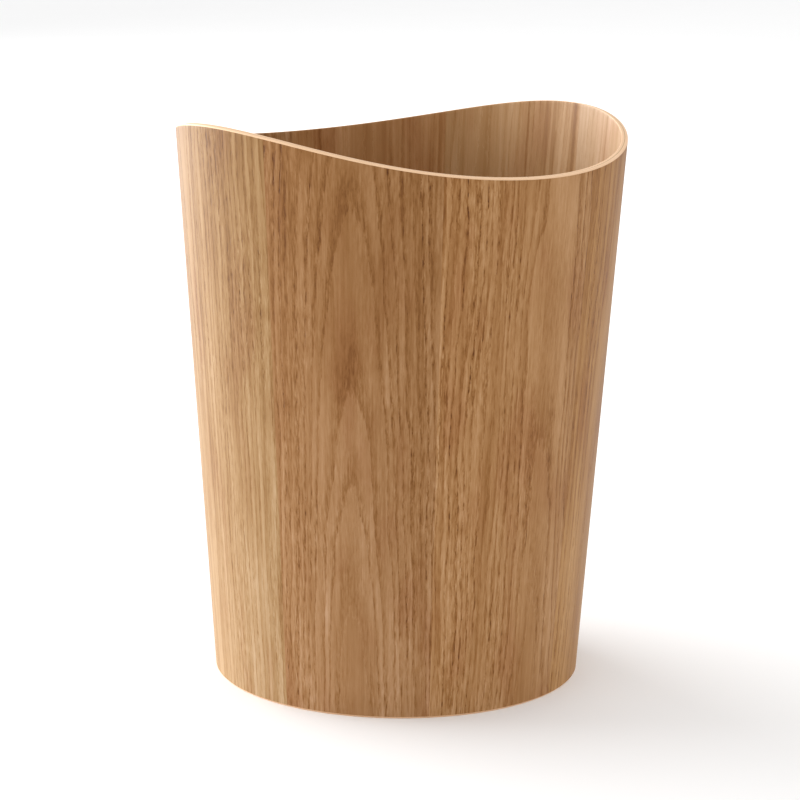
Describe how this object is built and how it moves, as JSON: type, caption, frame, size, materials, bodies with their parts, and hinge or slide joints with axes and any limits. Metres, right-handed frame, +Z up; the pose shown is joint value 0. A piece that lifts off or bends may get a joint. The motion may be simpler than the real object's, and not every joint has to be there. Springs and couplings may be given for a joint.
{
  "type": "wastebasket",
  "caption": "Open round tapered wastebasket of moulded plywood with an oak veneer face and a saddle-shaped rim.",
  "frame": {"origin": "centre of the circle that the wall stands on, at floor level", "axes": "+Z up, +X and -X towards the rim's two peaks, +Y and -Y towards its two dips"},
  "size_m": [0.2474, 0.2444, 0.3116],
  "materials": {
    "outer_oak_veneer": "clear satin lacquer on oak",
    "inner_oak_veneer": "clear satin lacquer on oak",
    "board_oak_veneer": "clear satin lacquer on oak",
    "pale_ply": "sanded pale birch ply",
    "dark_ply": "sanded darker middle ply",
    "beech": "sanded bent beech"
  },
  "bodies": {
    "root": {"outer_veneer_leaf_1": "outer_oak_veneer", "outer_veneer_leaf_2": "outer_oak_veneer", "outer_veneer_leaf_3": "outer_oak_veneer", "outer_veneer_leaf_4": "outer_oak_veneer", "outer_veneer_leaf_5": "outer_oak_veneer", "outer_veneer_leaf_6": "outer_oak_veneer", "outer_veneer_leaf_7": "outer_oak_veneer", "outer_veneer_leaf_8": "outer_oak_veneer", "outer_cross_ply": "pale_ply", "core_ply": "dark_ply", "inner_cross_ply": "pale_ply", "inner_veneer_leaf_1": "inner_oak_veneer", "inner_veneer_leaf_2": "inner_oak_veneer", "inner_veneer_leaf_3": "inner_oak_veneer", "inner_veneer_leaf_4": "inner_oak_veneer", "inner_veneer_leaf_5": "inner_oak_veneer", "inner_veneer_leaf_6": "inner_oak_veneer", "inner_veneer_leaf_7": "inner_oak_veneer", "inner_veneer_leaf_8": "inner_oak_veneer", "board_top_veneer_1": "board_oak_veneer", "board_top_veneer_2": "board_oak_veneer", "board_upper_cross_ply": "pale_ply", "board_core_ply": "pale_ply", "board_lower_cross_ply": "pale_ply", "board_bottom_veneer_1": "board_oak_veneer", "board_bottom_veneer_2": "board_oak_veneer", "board_support_ring": "beech"}
  },
  "joints": []
}
